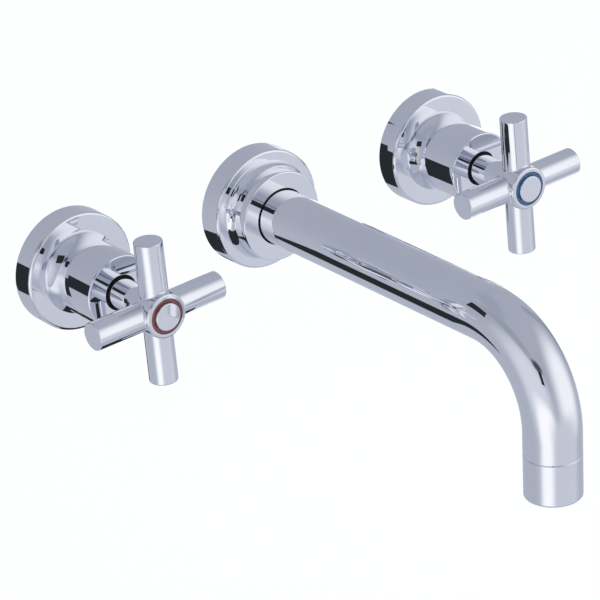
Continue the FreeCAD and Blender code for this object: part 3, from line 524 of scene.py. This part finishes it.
# rubber and foam: seals behind the flanges, the ring round the tube, the bush in each sleeve
seal = {"setIn": 2.05, "width": 3.1, "depth": 2.2, "round": 0.6, "around": 128}
for station in stations:
    outer = flanges[station]["radius"] - seal["setIn"]
    inner = outer - seal["width"]
    gasket = turnedPiece(station + "WallSeal", [
        (inner, 0), (outer, 0), (outer, seal["depth"]), (inner, seal["depth"]),
    ], bevels=[(rim, 0, seal["round"], 4) for rim in (inner, outer)],
        steps=seal["around"], centre=stations[station])
    standsFor(gasket, "wall_set", station + "_wall_seal", "foam_rubber")

collarRing = {"radius": 13.45, "section": 0.7, "away": 21.2, "around": 128}
mesh = bmesh.new()
bmesh.ops.create_circle(mesh, segments=24, radius=collarRing["section"])
bmesh.ops.translate(mesh, vec=(collarRing["radius"], -collarRing["away"], 0), verts=mesh.verts[:])
spunRound(mesh, collarRing["around"])
standsFor(finishedPiece("collarRubberRing", mesh), "wall_set", "collar_o_ring", "rubber")

bush = {
    "bore": 7.05, "back": 37.3, "rim": 9.5, "step": 38.5, "outer": 8.05, "front": 41.1, "edge": 0.2,
    "around": 96,
}
for station in ("hot", "cold"):
    liner = turnedPiece(station + "SleeveBush", [
        (bush["bore"], bush["back"]), (bush["rim"], bush["back"]), (bush["rim"], bush["step"]),
        (bush["outer"], bush["step"]), (bush["outer"], bush["front"]), (bush["bore"], bush["front"]),
    ], bevels=[(bush[rim], bush["front"], bush["edge"], 3) for rim in ("outer", "bore")],
        steps=bush["around"], centre=stations[station])
    standsFor(liner, "wall_set", station + "_sleeve_bush", "black_plastic")
print("seals, ring and bushes turned")

studio = {
    "middle": (0.0, -0.10, 0.0), "radius": 6.0,
    "upper": 0.52, "lower": 0.575, "horizon": 0.35,             # light above and below, and where they meet
    # light and the tint that goes with it: the greys are lavender, the blacks a little green
    "tints": [
        (0.03, (0.78, 0.98, 1.08)), (0.4, (0.86, 0.925, 1.09)),
        (0.8, (0.91, 0.935, 1.03)), (1.15, (1, 1, 1)),
    ],
    # soft cards on the tent: azimuth, elevation, half width, half height in degrees, softness, light
    "cards": {
        "rightWindow": (40, 12, 60, 53, 0.95, 1.1), "leftWall": (-70, 3, 60, 45, 0.85, 0.86),
        "leftFloor": (-55, -18, 40, 26, 0.8, 1.2), "frontFloor": (5, -25, 62, 26, 0.9, 0.75),
        "rightStrip": (133, -12, 8, 16, 0.5, 1.4), "lowRight": (58, -58, 33, 12, 0.8, 0.57),
        "lowBack": (122, -47, 25, 21, 0.8, 1.05), "lowFar": (160, -62, 20, 10, 0.8, 0.95),
        "lowLeft": (-60, -52, 48, 10, 0.9, 0.55), "nadir": (30, -75, 56, 20, 0.9, 0.65),
        "leftCeiling": (-94, 46, 48, 12, 0.9, 0.43), "backCeiling": (176, 37, 56, 26, 0.87, 0.5),
        "farCeiling": (-150, 61, 35, 17, 0.9, 0.46), "aboveLens": (-42, 35, 15, 7, 0.9, 0.09),
        "rightDoor": (105, 25, 7, 21, 0.9, 0.4), "doorFoot": (110, -3, 7, 17, 0.9, 0.3),
    },
    # dark arcs behind the stations that give the flanges and sleeves their black shapes: station,
    # distance behind the wall, inner and outer radius in metres, first and last angle
    "arcs": {
        "hotSide": ("hot", 0.06, 0.070, 0.087, 174, 220),
        "hotSleeve": ("hot", 0.06, 0.0865, 0.113, 164, 194),
        "spoutSide": ("spout", 0.03, 0.043, 0.062, 214, 254),
        "coldSide": ("cold", 0.06, 0.066, 0.088, 174, 252),
        "coldSleeve": ("cold", 0.06, 0.087, 0.113, 182, 234),
    },
    "arcSteps": 24,
    # dark boards: place, azimuth and elevation faced, width and height in metres
    "boards": {
        "underSpout": ((-0.073, -0.012, -0.07), (0, 89.9), 0.065, 0.146),
        "farRight": ((-0.04, 0.26, 0.16), (7, -26), 0.096, 0.05),
        "farLeft": ((-0.38, 0.15, 0.255), (61, -30), 0.16, 0.135),
        "behindLens": ((-0.825, -1.155, 0.6), (143, -24), 0.21, 0.29),
    },
    "dark": 0.03,
}


def tinted(light):
    rows = studio["tints"]
    for (low, dim), (high, bright) in zip(rows, rows[1:]):
        if light < high or high == rows[-1][0]:
            share = min(max((light - low) / (high - low), 0.0), 1.0)
            return tuple(light * (a + (b - a) * share) for a, b in zip(dim, bright))


def turnedTo(out):
    side = Vector((0, 0, 1)).cross(out).normalized()
    return side, out.cross(side)


def makeTent():
    mesh = bmesh.new()
    bmesh.ops.create_uvsphere(mesh, u_segments=48, v_segments=24, radius=studio["radius"])
    bmesh.ops.translate(mesh, vec=studio["middle"], verts=mesh.verts[:])
    bmesh.ops.reverse_faces(mesh, faces=mesh.faces[:])
    graph = Graph(bpy.data.materials.new("tentCloth"))
    way = graph.add("VectorMath", {"operation": "NORMALIZE"}, {0: graph.place(studio["middle"])})
    height = graph.along(way, (0, 0, 1))
    above = graph.fitted(height, -studio["horizon"], studio["horizon"])
    light = graph.mix(above, tinted(studio["lower"]), tinted(studio["upper"]))
    for azimuth, elevation, wide, tall, soft, bright in studio["cards"].values():
        out = facing(azimuth, elevation)
        side, up = turnedTo(out)
        across = graph.along(way, tuple(side / math.sin(math.radians(wide))))
        upwards = graph.along(way, tuple(up / math.sin(math.radians(tall))))
        ahead = graph.maths("GREATER_THAN", graph.along(way, tuple(out)), 0.0)
        reach = across * across + upwards * upwards
        light = graph.mix(graph.fitted(reach, 1.0, 1.0 - soft) * ahead, light, tinted(bright))
    glow = graph.add("Emission", None, {"Color": light, "Strength": 1.0})
    graph.add("OutputMaterial", None, {"Surface": glow})
    staged("studioTent", mesh, graph.owner).visible_camera = False


def makeArc(name, station, behind, inner, outer, start, end):
    mesh = bmesh.new()
    corners = [mesh.verts.new((radius, 0, 0)) for radius in (inner, outer)]
    edge = mesh.edges.new(corners)
    turn = Matrix.Rotation(math.radians(-start), 3, "Y")
    bmesh.ops.rotate(mesh, verts=corners, cent=(0, 0, 0), matrix=turn)
    bmesh.ops.spin(mesh, geom=corners + [edge], cent=(0, 0, 0), axis=(0, 1, 0),
                   angle=math.radians(start - end), steps=studio["arcSteps"])
    bmesh.ops.translate(mesh, vec=(stations[station] * mm, behind, 0), verts=mesh.verts[:])
    makeDark(name, mesh)


def makeBoard(name, place, face, wide, tall):
    out = facing(*face)
    side, up = turnedTo(out)
    mesh = bmesh.new()
    bmesh.ops.create_grid(mesh, x_segments=1, y_segments=1, size=0.5)
    bmesh.ops.scale(mesh, vec=(wide, tall, 1), verts=mesh.verts[:])
    stand = Matrix.Translation(place) @ Matrix((side, up, out)).transposed().to_4x4()
    bmesh.ops.transform(mesh, matrix=stand, verts=mesh.verts[:])
    makeDark(name, mesh)


def makeDark(name, mesh):
    graph = Graph(bpy.data.materials.new(name + "Cloth"))
    dark = graph.add("Emission", None, {"Color": tinted(studio["dark"]), "Strength": 1.0})
    graph.add("OutputMaterial", None, {"Surface": dark})
    thing = staged(name, mesh, graph.owner)
    thing.visible_camera = thing.visible_diffuse = thing.visible_shadow = False


def staged(name, mesh, material):
    data = bpy.data.meshes.new(name)
    mesh.to_mesh(data)
    mesh.free()
    data.materials.append(material)
    thing = bpy.data.objects.new(name, data)
    bpy.context.collection.objects.link(thing)
    return thing


floor = {"level": -0.30, "reach": 3.0, "tone": (0.85, 0.85, 0.86), "glow": 0.55}


def makeFloor():
    mesh = bmesh.new()
    bmesh.ops.create_grid(mesh, x_segments=1, y_segments=1, size=floor["reach"])
    bmesh.ops.translate(mesh, vec=(0, 0, floor["level"]), verts=mesh.verts[:])
    graph = Graph(bpy.data.materials.new("paleFloor"))
    cloth = graph.add("BsdfDiffuse", None, {"Color": floor["tone"]})
    white = graph.add("Emission", None, {"Color": (1, 1, 1), "Strength": floor["glow"]})
    seen = graph.add("LightPath", output="Is Camera Ray")
    clear = graph.add("BsdfTransparent")
    under = graph.add("NewGeometry", output="Backfacing")       # from below the floor is clear
    lit = graph.add("AddShader", None, {0: cloth, 1: white})
    sides = graph.add("MixShader", None, {0: seen, 1: cloth, 2: lit})
    cover = graph.add("MixShader", None, {0: under, 1: sides, 2: clear})
    graph.add("OutputMaterial", None, {"Surface": cover})
    staged("floor", mesh, graph.owner).visible_glossy = False


def makeWorld():
    world = bpy.data.worlds.new("backdrop")
    bpy.context.scene.world = world
    graph = Graph(world)
    white = graph.add("Background", None, {"Color": (1, 1, 1), "Strength": 1.0})
    graph.add("OutputWorld", None, {"Surface": white})


makeTent()
for name, arc in studio["arcs"].items():
    makeArc(name + "Arc", *arc)
for name, board in studio["boards"].items():
    makeBoard(name + "Board", *board)
makeFloor()
makeWorld()
print("stage set")
